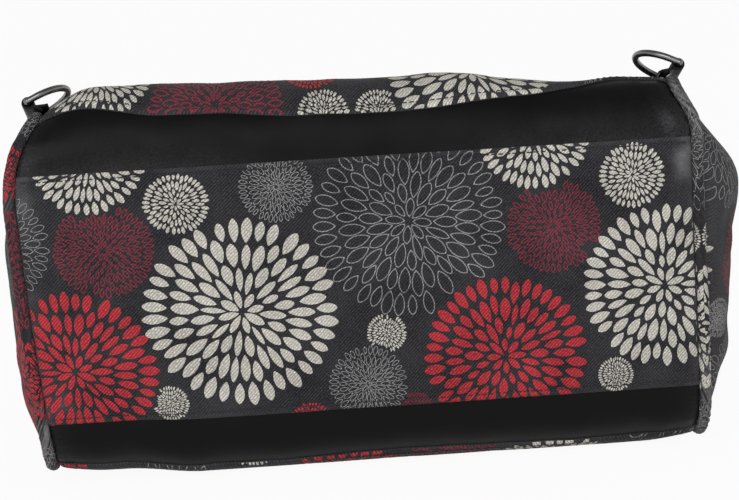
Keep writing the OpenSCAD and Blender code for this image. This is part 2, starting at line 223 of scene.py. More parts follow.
def dents(s, x, side):
    near_end = np.clip((sheet_x - np.abs(x)) / 30, 0, 1)
    slow = 0.7 * ripples(x, s * side, 120, 11) + 0.3 * ripples(x, s * side, 38, 12)
    gathers = by_seam(x, 9) * ripples(np.sign(x) * 40, s * side, 11, 13)
    crown = 1.2 * np.clip(1 - (s / half_flat) ** 2, 0, 1)
    rest = np.where((side == FRONT) & (s > turned_s(FRONT) - 12), 0.25, 1.0)
    return (crown + slow) * near_end * rest + 0.4 * gathers


def body_point(s, x, side, out):
    s = pulled(s, x) if side == BACK else s
    y, z, ny, nz = outline(s, side)
    far = out + swell(s, x, side) + dents(s, x, side)
    p = s * side
    drawn = np.where(x < 0, -lean(p, LEFT), lean(p, RIGHT)) * ease((np.abs(x) - 30) / 150)
    return np.stack([x + drawn, y + ny * far, np.maximum(z + nz * far, 0.05)], axis=-1)


base_middle = np.linspace(-180, 180, 99)
print("dents on the base reach", round(float(dents(0 * base_middle, base_middle, BACK).max()), 2), "mm")

# %% [markdown]
# Pieces are grids of points turned into meshes. One helper makes the mesh, lays a UV map in metres over
# it so that a weave keeps its scale, shades it smooth, and ties it to its body and its solid.

# %% Making a piece


def grid_faces(rows, cols, loop=False, flip=False):
    i, j = np.meshgrid(np.arange(rows - 1), np.arange(cols if loop else cols - 1), indexing="ij")
    a, b = i * cols + j, i * cols + (j + 1) % cols
    faces = np.stack([a, b, b + cols, a + cols], axis=-1).reshape(-1, 4)
    return faces[:, ::-1] if flip else faces


def lay_weave(mesh, uv):
    corner = np.empty(len(mesh.loops), dtype=np.int32)
    mesh.loops.foreach_get("vertex_index", corner)
    flat = np.stack(np.broadcast_arrays(*uv), axis=-1).astype(float).reshape(-1, 2)
    mesh.uv_layers.new(name="weave").data.foreach_set("uv", (flat[corner] * [MM, -MM]).ravel())


def make_piece(name, points, faces, finish, stands_for=None, uv=None):
    mesh = bpy.data.meshes.new(name)
    placed = (lifted(np.asarray(points, float).reshape(-1, 3)) + [0, shift_y, 0]) * MM
    mesh.from_pydata(placed.tolist(), [], [list(f) for f in faces])
    if uv is not None:
        lay_weave(mesh, uv)
    mesh.shade_smooth()
    mesh.materials.append(finish)
    piece = bpy.data.objects.new(name, mesh)
    bpy.context.scene.collection.objects.link(piece)
    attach(piece, "bag")
    if stands_for:
        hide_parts(stands_for)
    area = sum(f.area for f in mesh.polygons)
    print(name, "has", len(mesh.polygons), "faces and", round(area, 5), "square metres")
    return piece


def make_grid(name, points, finish, stands_for, uv, loop=False, flip=False):
    faces = grid_faces(*points.shape[:2], loop, flip)
    return make_piece(name, points, faces, finish, stands_for, uv)


def paint_wear_and_sheen(piece, values):
    layer = piece.data.attributes.new("wear_and_sheen", "FLOAT", "POINT")
    layer.data.foreach_set("value", np.asarray(values, np.float32).ravel())


print("a grid of 3 by 4 points has", len(grid_faces(3, 4)), "faces")

# %% [markdown]
# Finishes are node materials. A small class adds nodes and links by name, and has a word for each step
# that the recipes take often, which keeps them readable. Nothing in the bag's finishes depends on the
# camera, so they hold from every side.

# %% Node helper


def colour(*srgb):
    return [c / 255 / 12.92 if c < 11 else ((c / 255 + 0.055) / 1.055) ** 2.4 for c in srgb] + [1]


class Recipe:
    def __init__(self, tree):
        self.nodes, self.links = tree.nodes, tree.links

    def add(self, kind, link=(), **settings):
        node = self.nodes.new(kind)
        for key, value in settings.items():
            if hasattr(node, key):
                setattr(node, key, value)
            else:
                node.inputs[key.replace("_", " ")].default_value = value
        for socket, source in link:
            self.links.new(source, node.inputs[socket])
        return node

    def object_place(self):
        return self.add("ShaderNodeTexCoord").outputs["Object"]

    def wear_and_sheen(self):
        return self.add("ShaderNodeAttribute", attribute_name="wear_and_sheen").outputs["Fac"]

    def noise(self, place, **settings):
        return self.add("ShaderNodeTexNoise", [("Vector", place)], **settings).outputs["Fac"]

    def remap(self, value, low, high, to_low=0.0, to_high=1.0):
        limits = {"From_Min": low, "From_Max": high, "To_Min": to_low, "To_Max": to_high}
        return self.add("ShaderNodeMapRange", [("Value", value)], **limits).outputs[0]

    def maths(self, operation, a, b, **settings):
        return self.add("ShaderNodeMath", [(0, a), (1, b)], operation=operation, **settings).outputs[0]

    def blend(self, share, low, high):
        mix = self.add("ShaderNodeMix", [(0, share)], data_type="RGBA")
        for socket, tone in ((6, low), (7, high)):
            if isinstance(tone, tuple):
                mix.inputs[socket].default_value = colour(*tone)
            else:
                self.links.new(tone, mix.inputs[socket])
        return mix.outputs[2]


print("half-way grey reflects", round(colour(128, 128, 128)[0], 3), "of the light")

# %% Finish helper


class Finish(Recipe):
    def __init__(self, name):
        self.material = bpy.data.materials.new(name)
        self.material.use_nodes = True
        super().__init__(self.material.node_tree)
        self.shader = self.nodes["Principled BSDF"]

    def wire(self, socket, source):
        self.links.new(source, self.shader.inputs[socket])

    def settle(self, **values):
        for socket, value in values.items():
            self.shader.inputs[socket.replace("_", " ")].default_value = value

    def bump(self, height, strength, distance):
        relief = self.add("ShaderNodeBump", [("Height", height)], Strength=strength, Distance=distance)
        self.wire("Normal", relief.outputs[0])


print("finishes start from the shader", bpy.types.ShaderNodeBsdfPrincipled.bl_rna.name)

# %% [markdown]
# The printed cloth is a cotton twill: ridges at 45 degrees, here about 1.4 millimetres apart, so that they
# still show in a small picture. The wave texture draws the ridges in the cloth's own flat coordinates,
# one noise fades the dye in patches and a finer one gives single fibres. The same recipe serves the
# ground and each colour of the print.

# %% Twill in one colour


def twill(name, light, dark, fade=0.5, ridge=0.5, pale_tone=None):
    cloth = Finish(name)
    flat = cloth.add("ShaderNodeUVMap", uv_map="weave").outputs[0]
    wave = cloth.add(
        "ShaderNodeTexWave", [("Vector", flat)], bands_direction="DIAGONAL",
        Scale=310.0, Distortion=1.2, Detail=2.0, Detail_Scale=2.5,
    ).outputs["Fac"]
    speck = cloth.remap(cloth.noise(flat, Scale=1000.0, Detail=2.0), 0.32, 0.68)
    tone = cloth.add("ShaderNodeMath", [(0, wave), (1, speck)], operation="MULTIPLY_ADD")
    tone.inputs[2].default_value = 0.12
    patch = cloth.noise(flat, Scale=26.0, Detail=5.0, Roughness=0.62)
    faded = cloth.remap(patch, 0.3, 0.7, -fade / 2, fade / 2)
    shade = cloth.blend(cloth.maths("ADD", tone.outputs[0], faded, use_clamp=True), dark, light)
    if pale_tone:
        fuzz = cloth.noise(flat, Scale=330.0, Detail=6.0, Roughness=0.7)
        shade = cloth.blend(cloth.maths("MULTIPLY", cloth.wear_and_sheen(), fuzz, use_clamp=True), shade, pale_tone)
    cloth.wire("Base Color", shade)
    cloth.bump(tone.outputs[0], ridge, 0.0003)
    cloth.settle(Roughness=0.88, Specular_IOR_Level=0.2, Sheen_Weight=0.05)
    return cloth.material


ground_twill = twill("ground_twill", (70, 69, 73), (23, 22, 26), pale_tone=(128, 126, 126))
cream_twill = twill("cream_twill", (246, 242, 231), (148, 144, 136), 0.3)
red_twill = twill("red_twill", (232, 72, 80), (118, 30, 40), 0.3)
wine_twill = twill("wine_twill", (148, 62, 74), (84, 38, 48))
grey_twill = twill("grey_twill", (178, 177, 175), (112, 111, 112))
print("five twills are ready")

# %% [markdown]
# The print is a common one of round flowers with many petals. All petals of a flower are about the same
# size and lie like stretched honeycomb cells, with a thread of ground between them. They start on rings,
# each with a few more petals than the one inside it, and push each other apart for a while. Long petals
# need more room outwards than sideways, so the pushing is measured in a space squeezed outwards.

# %% Pushing petals apart
petal_rings = [(8, 0.14), (11, 0.3), (14, 0.44), (18, 0.575), (22, 0.71), (25, 0.845)]
push_steps, push_reach, push_rate = 220, 0.15, 0.012
squeeze = 2.1


def push_apart(rng, more):
    rings = [(round(count * more), at) for count, at in petal_rings]
    r = np.concatenate([np.full(count, at) for count, at in rings])
    a = np.concatenate([2 * math.pi * (np.arange(count) + rng.uniform()) / count for count, _ in rings])
    free = r > 0.2
    r = r + free * rng.normal(0, 0.03, len(r))
    for step in range(push_steps):
        dr = (r[:, None] - r[None]) / squeeze
        ds = ((a[:, None] - a[None] + math.pi) % (2 * math.pi) - math.pi) * (r[:, None] + r[None]) / 2
        d = np.hypot(dr, ds) + np.eye(len(r))
        push = np.clip(1 - d / push_reach, 0, 1) / d * push_rate * (1.2 - step / push_steps)
        r = np.where(free, np.clip(r + (push * dr).sum(1) * squeeze, 0.29, 0.87), r)
        a = a + free * (push * ds).sum(1) / r
    return r, a


print("petals start on", len(petal_rings), "rings")

# %% [markdown]
# Then the petals swell until they nearly touch. A petal whose tip meets a neighbour gets shorter, one
# whose side does gets slimmer, and all others grow a little in each step. Every kind of flower has three
# layouts, which the flowers of a panel take in turn.

# %% Swelling the petals
root_power, tip_power = 0.85, 0.68
edge_peak = root_power / (root_power + tip_power)
grow_steps, probes = 110, 7
bigger, smaller = 1.02, 0.975


def petal_edge(t):
    peak = edge_peak**root_power * (1 - edge_peak) ** tip_power
    return np.clip(t, 0, 1) ** root_power * np.clip(1 - t, 0, 1) ** tip_power / peak / 2


def grow(rng, r, a, gap):
    t = np.linspace(0.08, 0.92, probes)
    at = np.stack([r * np.cos(a), r * np.sin(a)], axis=1)
    i, j = np.nonzero(np.tril(np.linalg.norm(at[:, None] - at[None], axis=-1) < 0.36, -1))
    long, wide = np.full(len(r), 0.2), np.full(len(r), 0.08)
    most = np.where(r > 0.8, rng.uniform(0.2, 0.275, len(r)), 0.285)
    for _ in range(grow_steps):
        rho = r[:, None] + (t - 0.5) * long[:, None]
        at = np.stack([rho * np.cos(a)[:, None], rho * np.sin(a)[:, None]], axis=-1)
        fat = wide[:, None] * petal_edge(t)
        thread = gap * np.clip(rho / 0.25, 0.1, 1)
        apart = np.linalg.norm(at[i][:, :, None] - at[j][:, None], axis=-1)
        room = apart - fat[i][:, :, None] - fat[j][:, None] - thread[i][:, :, None]
        room = room.reshape(len(i), -1)
        worst, tight = room.argmin(1), room.min(1) < 0
        longer, wider = np.full(len(r), bigger), np.full(len(r), bigger)
        for who, place in ((i[tight], worst[tight] // probes), (j[tight], worst[tight] % probes)):
            tips = (place < 2) | (place > probes - 3)
            longer[who[tips]] = smaller
            wider[who[~tips]] = smaller
            wider[who[tips]] = np.minimum(wider[who[tips]], 1.0)
        long = np.clip(long * longer, 0.15, most)
        wide = np.clip(wide * wider, 0.05, 0.47 * long)
    return r, a, long, wide


def flower_layouts(gap, more=1.0):
    chances = [np.random.default_rng(seed) for seed in (3, 4, 5)]
    return [grow(rng, *push_apart(rng, more), gap) for rng in chances]


layouts = {"cream": flower_layouts(0.022), "grey": flower_layouts(0.003), "wine": flower_layouts(0.0, 1.28)}
layouts["red"] = layouts["cream"]
for kind, choices in layouts.items():
    long = choices[0][2]
    print("a", kind, "flower has", len(long), "petals,", round(float(long.mean()), 3), "of its radius long")

# %% [markdown]
# A petal is a pointed oval cut into small faces, so that it can bend with the cloth. An outlined petal
# is only the border of that oval. The faces lie a hair's breadth above the cloth. A texture could hold
# them too, but faces keep their edges sharp at any distance.

# %% Petals and flowers


def petal_steps(length, fine):
    if fine:
        return int(np.clip(length / 1.1, 4, 9))
    return 7 if length > 9 else 5 if length > 4 else 4


def petal_cells(length, width, stroke, fine):
    steps = petal_steps(length, fine)
    t = 0.5 - 0.5 * np.cos(math.pi * np.linspace(0, 1, steps + 1))
    side = width * petal_edge(t)
    if stroke:
        inner = np.maximum(side - stroke, 0)
        t_in = np.clip(t, 1.8 * stroke / length, 1 - 1.5 * stroke / length)
        lines = [(t, -side), (t_in, -inner), (t_in, inner), (t, side)]
        pairs = [(0, 1), (2, 3)]
    else:
        shares = np.linspace(-1, 1, int(np.clip(width / 0.9, 2, 6)) + 1 if fine else 3)
        lines = [(t, side * k) for k in shares]
        pairs = [(k, k + 1) for k in range(len(shares) - 1)]
    points = np.concatenate([np.stack([length * (a - 0.5), b], axis=1) for a, b in lines])
    n = steps + 1
    faces = [[p * n + k, p * n + k + 1, q * n + k + 1, q * n + k] for p, q in pairs for k in range(steps)]
    return points, faces


def flower(layout, x, y, radius, turn, stroke, fine, avoid):
    points, faces, base = [np.zeros((0, 2))], [], 0
    for r, a, long, wide in zip(*layout):
        angle = a + math.radians(turn)
        c, s = math.cos(angle), math.sin(angle)
        mx, my = x + radius * r * c, y + radius * r * s
        if any(math.hypot(mx - f[1], my - f[2]) < f[3] + 0.6 * wide * radius for f in avoid):
            continue
        cell, quads = petal_cells(radius * long, radius * wide, stroke, fine)
        px = mx + cell[:, 0] * c - cell[:, 1] * s
        py = my + cell[:, 0] * s + cell[:, 1] * c
        points.append(np.stack([px, py], axis=1))
        faces += [[base + n for n in quad] for quad in quads]
        base += len(cell)
    return np.concatenate(points), faces


print("a large petal has", len(petal_cells(14, 6, 0, False)[1]), "faces")

# %% [markdown]
# Where a flower runs over the edge of a panel it is cut off: each small face is clipped against the
# straight edges of the panel's flat shape, one edge after the other. Close to an edge the cloth rolls
# and dips into a seam, so the faces there are split again until they are small enough to follow it.

# %% Clipping and splitting a face


def clip_face(face, edges):
    for nx, ny, c in edges:
        kept = []
        for p, q in zip(face, face[1:] + face[:1]):
            dp, dq = nx * p[0] + ny * p[1] + c, nx * q[0] + ny * q[1] + c
            if dp >= 0:
                kept.append(p)
            if (dp >= 0) != (dq >= 0):
                k = dp / (dp - dq)
                kept.append((p[0] + k * (q[0] - p[0]), p[1] + k * (q[1] - p[1])))
        face = kept
        if len(face) < 3:
            return []
    return face


def split_small(triangles, size):
    while len(triangles):
        a, b, c = triangles[:, 0], triangles[:, 1], triangles[:, 2]
        big = np.max([np.linalg.norm(p - q, axis=1) for p, q in ((a, b), (b, c), (c, a))], axis=0) > size
        if not big.any():
            break
        a, b, c = a[big], b[big], c[big]
        ab, bc, ca = (a + b) / 2, (b + c) / 2, (c + a) / 2
        parts = [np.stack(t, axis=1) for t in ((a, ab, ca), (ab, b, bc), (ca, bc, c), (ab, bc, ca))]
        triangles = np.concatenate([triangles[~big]] + parts)
    return triangles


print("a triangle with 4 mm sides is split into", len(split_small(np.array([[(0, 0), (4, 0), (0, 4)]]), 1.7)))

# %% [markdown]
# A whole flower is cut face by face. Faces well inside the panel stay as they are. Those near its edges
# are clipped and split, and split finest where a hem rolls.

# %% Cutting the print to a panel
print_grain, overhang = 1.7, 20
hem_grains = ((5.5, 1.0), (1.5, 0.5))


def edge_room(points, edges):
    edges = np.asarray(edges, float).reshape(-1, 3)
    return (points @ edges[:, :2].T + edges[:, 2]).min(axis=1, initial=999)


def cut_print(points, faces, edges, hems, close):
    room = edge_room(points, edges)
    kept, small = [], []
    for face in faces:
        if room[face].min() >= close:
            kept.append(face)
        elif room[face].max() > 0 or room[face].min() > -overhang:
            cut = clip_face([tuple(points[k]) for k in face], edges)
            small += [(cut[0], cut[k], cut[k + 1]) for k in range(1, len(cut) - 1)]
    if small:
        parts = split_small(np.array(small, float), print_grain)
        for reach, size in hem_grains:
            near = edge_room(parts.mean(axis=1), hems) < reach
            parts = np.concatenate([parts[~near], split_small(parts[near], size)])
        extra = parts.reshape(-1, 2)
        kept += (len(points) + np.arange(len(extra)).reshape(-1, 3)).tolist()
        points = np.concatenate([points, extra])
    return points, kept


def frame_edges(x0, x1, y0, y1):
    return [(1, 0, -x0), (-1, 0, x1), (0, 1, -y0), (0, -1, y1)]


print("beside a hem, faces are at most", min(size for _, size in hem_grains), "mm long")

# %% [markdown]
# Each flower is a colour, a place on the flat panel, a radius and a turn. The base panel carries a
# listed spread in four colours, the five largest first: where two flowers meet, the later one leaves
# out the petals that would lie on the earlier one. The other panels are cut from the same cloth. A few of
# their flowers are listed one by one where they show, and the rest are thrown at random; one that would
# touch a flower already there is left out.

# %% Laying out the flowers
base_flowers = [
    ("cream", -72, -12, 54, 8), ("red", 75, -47, 47, 4), ("grey", 24, 34, 55, 0),
    ("red", -166, -40, 46.5, 15), ("cream", 168, -12, 47.5, 20), ("cream", 97, 80, 33, 0),
    ("cream", -147, 79, 31, 12), ("wine", -142, 28, 27.5, 0), ("wine", 106, 26, 27.5, 10),
    ("cream", 152, 52, 19, 5), ("cream", -102, 52, 17.5, 0), ("grey", -49, 58, 20.5, 5),
    ("grey", -4, -58, 22.5, 0), ("cream", 8, -29, 11.5, 10), ("cream", 138, -62, 10.5, 0),
    ("cream", -116, -62, 10.5, 15), ("grey", -203, 34, 33, 5), ("red", -38, -79, 13, 0),
    ("wine", 22, -76, 12, 0),
]
panel_flowers = {
    BACK: [
        ("cream", -154, 128, 33, 0), ("wine", -82, 108, 40, 0), ("cream", 68, 127, 50, 9),
        ("cream", -20, 103, 15, 0), ("cream", 11, 103, 14, 5), ("red", -26, 134, 16, 0),
    ],
    FRONT: [("red", -18, 142, 46, 0), ("cream", 102, 140, 42, 5), ("grey", -118, 150, 50, 0)],
}
end_flowers = {
    LEFT: [("red", 16, 68, 40, 0), ("grey", 34, 140, 40, 8)],
    RIGHT: [
        ("cream", -40, 110, 47, 0), ("grey", 24, 178, 42, 5), ("wine", 50, 104, 34, 0),
        ("grey", 30, 30, 34, 0),
    ],
}
welt_flowers = {
    LEFT: [
        ("red", 74, 9, 17, 0), ("grey", 114, 11, 22, 0), ("wine", 20, 11, 36, 0),
        ("red", -44, 11, 26, 9), ("grey", -112, 11, 30, 0),
    ],
    RIGHT: [
        ("grey", 66, 11, 38, 0), ("cream", 14, 11, 11, 0), ("cream", -38, 11, 38, 0),
        ("grey", -108, 11, 30, 0),
    ],
}
print("the base carries", len(base_flowers), "flowers")

# %% Throwing flowers at random
flower_kinds = [
    ("cream", 50), ("grey", 51), ("red", 43), ("wine", 27), ("cream", 27), ("grey", 21), ("cream", 17),
    ("wine", 20), ("cream", 10), ("red", 14), ("grey", 12),
]
large_flower, large_apart, beyond = 40, 150, 20


def scatter(x0, x1, y0, y1, seed, chosen, tries=240):
    rng = np.random.default_rng(seed)
    chosen = list(chosen)
    for kind, size in flower_kinds:
        for _ in range(tries):
            x, y = rng.uniform(x0 - beyond, x1 + beyond), rng.uniform(y0 - beyond, y1 + beyond)
            r = size * rng.uniform(0.9, 1.06)
            gaps = [(math.hypot(x - f[1], y - f[2]), f) for f in chosen]
            clear = all(d > r + f[3] - 1 for d, f in gaps)
            alike = [d for d, f in gaps if f[0] == kind and size > large_flower]
            if clear and all(d > large_apart for d in alike):
                chosen.append((kind, x, y, r, rng.uniform(0, 60)))
    return chosen


print("flowers of", len(flower_kinds), "kinds and sizes are thrown")

# %% [markdown]
# Each printed panel ends in a folded hem that lies over the leather. The fold is a small roll, the
# stitch line pulls a groove a few millimetres inside it, and at the ends the cloth dips into the seam
# beside the piping. All of that is one height above the seam line, as a function of the place on it.

# %% Hems and seams of the printed cloth
stitch_in, stitch_pitch = 3.4, 4.0
seam_dip_run = 1.8


def hump(v, at, reach):
    return np.exp(-(((v - at) / reach) ** 2))


def cloth_out(from_hem, x):
    edge = np.clip(from_hem / 1.4, 0, 1)
    roll = cloth_t * np.sqrt(1 - (1 - edge) ** 2) + 0.3 * edge * hump(from_hem, 1.8, 1.2)
    pull = 0.7 + 0.3 * np.cos(2 * math.pi * x / stitch_pitch)
    groove = 0.42 * pull * hump(from_hem, stitch_in, 1.0)
    return roll - groove - 1.2 * by_seam(x, seam_dip_run)


def near_seam(u):
    return 1 + 2 * by_seam(u, 14)


def base_place(u, v, lift=0.0):
    s, lift = np.abs(v), lift * near_seam(u)
    low = body_point(s, u, FRONT, cloth_out(half_print - s + lift, u) + lift)
    high = body_point(s, u, BACK, cloth_out(half_print - s + lift, u) + lift)
    return np.where((v >= 0)[..., None], high, low)


def panel_place(side):
    def place(u, v, lift=0.0):
        lift = lift * near_seam(u)
        return body_point(v, u, side, cloth_out(v - band_s + lift, u) + lift)

    return place


hem_top = float(cloth_out(np.linspace(0, 3, 61), 0.0).max())
print("a hem rolls up to", round(hem_top, 2), "mm above the seam line")

# %% [markdown]
# The three large panels are grids over that surface: close rows at the hem, wide rows elsewhere, and a
# few close columns at the end seams. A painted attribute holds where the cloth is rubbed pale.

# %% Base panel
column_step = 1.35


def hem_steps(run):
    close = [0, 0.12, 0.35, 0.7, 1.1, 1.6, 2.1, 2.6, 3.0, 3.4, 3.8, 4.3, 5.0, 6.0, 7.5, 9.5]
    return np.concatenate([close, np.linspace(12, run, max(2, int((run - 12) / 3)))])


def across_steps(spacing):
    near = np.array([0, 0.4, 0.9, 1.6, 2.5, 3.6])
    inner = np.linspace(-sheet_x + 5, sheet_x - 5, int(2 * sheet_x / spacing))
    return np.concatenate([near - sheet_x, inner, sheet_x - near[::-1]])


def spot(u, v, at_u, at_v, wide, tall):
    return np.exp(-(((u - at_u) / wide) ** 2) - ((v - at_v) / tall) ** 2)


columns = across_steps(column_step)
half_rows = half_print - hem_steps(half_print)
u, v = np.meshgrid(columns, np.concatenate([-half_rows, half_rows[::-1][1:]]))
base_cloth = make_grid("base_cloth", base_place(u, v), ground_twill, "base_panel", (u, v))
wear_and_sheen_mask = 0.35 * by_seam(u, 3.5) + 0.3 * np.exp(-(half_print - np.abs(v)) / 0.9)
for much, *where in ((1.7, 182, 60, 4.5, 10), (0.4, -182, 56, 5, 16), (0.3, -176, -60, 10, 9)):
    wear_and_sheen_mask = wear_and_sheen_mask + much * spot(u, v, *where)
paint_wear_and_sheen(base_cloth, wear_and_sheen_mask * (0.8 + 0.4 * ripples(u, v, 14, 14)))

# %% Front and back panels
both_sides = ((FRONT, "front"), (BACK, "back"))
mouth_roll = 1.2
for side, word in both_sides:
    run = mouth_s(side) - band_s
    last_rows = [run - mouth_roll, run - mouth_roll / 2, run - 0.2, run]
    rows = np.append(hem_steps(run - mouth_roll)[:-1], last_rows)
    u, v = np.meshgrid(columns, band_s + rows)
    top = body_point(v, u, side, cloth_t * np.sqrt(np.clip((mouth_s(side) - v) / mouth_roll, 0, 1)))
    points = np.where((v > mouth_s(side) - mouth_roll - 0.1)[..., None], top, panel_place(side)(u, v))
    panel = make_grid(
        word + "_cloth", points, ground_twill, word + "_panel", (u, v), flip=side == FRONT
    )
    paint_wear_and_sheen(panel, 0.1 * np.exp(-(v - band_s) / 0.9) + 0.3 * by_seam(u, 3.5))

# %% [markdown]
# The bands are smooth black leather with a very fine grain. A cell texture and a noise give the grain and
# a slow noise moves the gloss, so the surface never shines evenly, and the painted attribute greys it
# where it rubs and, on the bands, where it holds painted reflection and sheen. Sculpting grain into the
# mesh would cost millions of faces for what a bump shows as well.

# %% Black leather


def leather(name, dark, pale_tone, gloss):
    hide = Finish(name)
    place = hide.object_place()
    grain = hide.add("ShaderNodeTexVoronoi", [("Vector", place)], Scale=1500.0, Randomness=0.9)
    fine = hide.noise(place, Scale=900.0, Detail=3.0)
    slow = hide.noise(place, Scale=34.0, Detail=4.0, Roughness=0.6)
    # The painted attribute mixes in a pale tone: wear, and on the bands also painted reflection and sheen.
    wear_and_sheen_grey = hide.maths("MULTIPLY", hide.maths("MULTIPLY", hide.wear_and_sheen(), slow), hide.remap(fine, 0.2, 0.8))
    hide.wire("Base Color", hide.blend(wear_and_sheen_grey, dark, pale_tone))
    hide.wire("Roughness", hide.remap(slow, 0.3, 0.7, gloss - 0.05, gloss + 0.07))
    hide.bump(hide.maths("ADD", grain.outputs["Distance"], fine), 0.08, 0.0002)
    hide.settle(Specular_IOR_Level=0.09)
    return hide.material


# The band's pale tone is painted reflection and sheen as much as wear.
band_leather = leather("band_leather", (12, 12, 13), (96, 94, 97), 0.45)
strap_leather = leather("strap_leather", (18, 17, 18), (90, 88, 90), 0.46)
print("two leathers are ready")

# %% [markdown]
# A band wraps each long edge of the base. It is cut wider than it shows, so both its edges run on under
# the folded hems of the cloth.

# %% Leather bands
for side, word in both_sides:
    u, v = np.meshgrid(across_steps(2.2), np.linspace(half_print - lap, band_s + lap, 48))
    creases = 0.22 * ripples(u, v * 0.5, 16, 21) * by_seam(u, 35)
    points = body_point(v, u, side, creases - 1.3 * by_seam(u, seam_dip_run))
    band = make_grid(
        word + "_leather", points, band_leather, word + "_band", (u, v), flip=side == FRONT
    )
    # Paler near the end seams, where the leather wears.
    wear_and_sheen_mask = 0.5 * by_seam(u, 5)
    if side == FRONT:
        # Painted reflection: the front band is painted paler along its edge next to the front panel, where it
        # turns towards the white floor.
        wear_and_sheen_mask = wear_and_sheen_mask + 0.45 * hump(v, band_s + 2, 9)
    else:
        # Painted sheen: the back band is painted paler beside the printed base panel, towards both ends.
        wear_and_sheen_mask = wear_and_sheen_mask + 0.6 * np.exp(-np.abs(v - half_print) / 9) * ease((np.abs(u) - 30) / 90)
        # Painted highlights: two pale spots near the ends of the back band.
        for much, *where in ((0.9, 175, 79, 4, 5), (0.5, -181, 79, 6, 7)):
            wear_and_sheen_mask = wear_and_sheen_mask + much * spot(u, v, *where)
    paint_wear_and_sheen(band, wear_and_sheen_mask)

# %% [markdown]
# An end panel fills the space between the front, the base and the back, and bellies outwards near the
# base because nothing stiffens it, the right one most. It is one sheet: y runs from base to mouth, and b
# is the share of the way from the front seam up to the back seam. Its rim follows the lean of the seams.

# %% Rim of an end panel
inset_r = edge_r - piping_r - 0.1
back_turn_y = edge_r + inset_r * math.sin(back_fall)
end_y0 = piping_r + 0.1


def end_low(y):
    rise = np.sqrt(np.maximum(inset_r**2 - np.maximum(edge_r - y, 0) ** 2, 0))
    return mid_z - half_flat - rise


def end_high(y):
    rise = np.sqrt(np.maximum(inset_r**2 - (edge_r - np.minimum(y, back_turn_y)) ** 2, 0))
    return mid_z + half_flat + rise - np.maximum(y - back_turn_y, 0) * math.tan(back_fall)


def end_lean(y, z, b, end):
    turn = np.arccos(np.clip((edge_r - y) / inset_r, -math.sin(back_fall), 1))
    back_s = half_flat + edge_r * turn + np.maximum(y - back_turn_y, 0) / math.cos(back_fall)
    front_s = half_flat + edge_r * np.minimum(turn, math.pi / 2) + np.maximum(y - edge_r, 0)
    rims = b * lean(back_s, end) + (1 - b) * lean(-front_s, end)
    corners = b * lean(half_flat, end) + (1 - b) * lean(-half_flat, end)
    beside = lean(np.clip(z - mid_z, -half_flat, half_flat), end) - corners
    return rims + beside * np.exp(-(y - end_y0) / 45)


print("the mouth is", round(float(end_high(bag_h) - end_low(bag_h)), 1), "mm high at its ends")

# %% Belly of an end panel
end_puff, end_tuck = {LEFT: 20.0, RIGHT: 37.0}, 25.0


def end_bulge(y, z, b, end):
    share = np.clip((y - end_y0) / (bag_h - end_y0), 0, 1)
    along = end_puff[end] * np.sin(math.pi * share**0.5) - end_tuck * share**4
    if end == LEFT:
        high, edgy = 1 - 0.25 * ease((b - 0.65) / 0.25), 4.2
    else:
        high = 0.74 + 0.3 * ease((b - 0.35) / 0.4) + 0.2 * hump(b, 0.74, 0.12)
        edgy = 3.6 - 0.8 * ease((b - 0.5) / 0.1)
    body = along * (1 - np.abs(2 * np.clip(b, 0, 1) - 1) ** edgy) * high
    inner = np.clip(np.minimum(b, 1 - b) * 6, 0, 1) * np.clip((y - end_y0) / 12, 0, 1)
    wavy = 1.6 * ripples(y, 160 * b, 95, 31 + end) + 0.8 * ripples(y, 160 * b, 34, 41 + end)
    return body + inner * wavy + end_lean(y, z, b, end)


def end_layer(end, y, b, out):
    z = end_low(y) + b * (end_high(y) - end_low(y))
    return np.stack([end * (seam_x + out + end_bulge(y, z, b, end)), y, z], axis=-1)


def end_place(end):
    def place(y, z, lift=0.0):
        low, high = end_low(y), end_high(y)
        b = np.clip((z - low) / (high - low), 0, 1)
        return np.stack([end * (seam_x + cloth_t / 2 + lift + end_bulge(y, z, b, end)), y, z], axis=-1)

    return place


print("the right end bellies", round(float(end_bulge(70.0, mid_z, 0.5, RIGHT)), 1), "mm out in its middle")

# %% End panels
both_ends = ((LEFT, "left"), (RIGHT, "right"))
end_shares = 0.5 - 0.5 * np.cos(math.pi * np.linspace(0, 1, 110))
end_ys = end_y0 + (bag_h - end_y0) * np.linspace(0, 1, 150) ** 1.4
heights = end_high(end_ys) - end_low(end_ys)
for end, word in both_ends:
    b, y = np.meshgrid(end_shares, end_ys)
    z = end_low(y) + b * (end_high(y) - end_low(y))
    gusset = make_grid(
        word + "_end_cloth", end_place(end)(y, z), ground_twill, word + "_gusset", (y, z),
        flip=end == LEFT,
    )
    paint_wear_and_sheen(gusset, 0.25 * np.exp(-(y - end_y0) / 6) + 0.35 * np.exp(-np.minimum(b, 1 - b) * 40))

# %% [markdown]
# Piping is a cord wrapped in a strip of the same cloth and caught in the end seam. The wrap puckers
# round the corners, and its crown is rubbed pale. It is a tube along the outline, with small diagonal
# puckers in its radius, and a painted attribute for the rubbing.

# %% Shape of the piping


def puckers(p, w, end):
    return np.clip(ripples(p + 1.8 * w, 0 * p, 5, 51 + end), -1, 1)


def piping_place(end):
    def place(p, w, lift=0.0):
        both = zip(outline(np.abs(p), FRONT), outline(np.abs(p), BACK))
        y, z, ny, nz = [np.where(p < 0, low, high) for low, high in both]
        bent = hump(np.abs(p), half_flat + 22, 26)
        around = w / piping_r
        r = piping_r + lift - (0.3 + 0.25 * bent) * (1 + puckers(p, w, end)) / 2
        r = r * np.where((p < -mouth_s(FRONT) + 0.01) | (p > mouth_s(BACK) - 0.01), 0.35, 1)
        out = r * np.cos(around)
        x = end * (seam_x + lean(p, end) + r * np.sin(around))
        return np.stack([x, y + ny * out, z + nz * out], axis=-1)

    return place


round_piping = 2 * math.pi * piping_r
print("a strip", round(round_piping, 1), "mm wide goes round the cord")

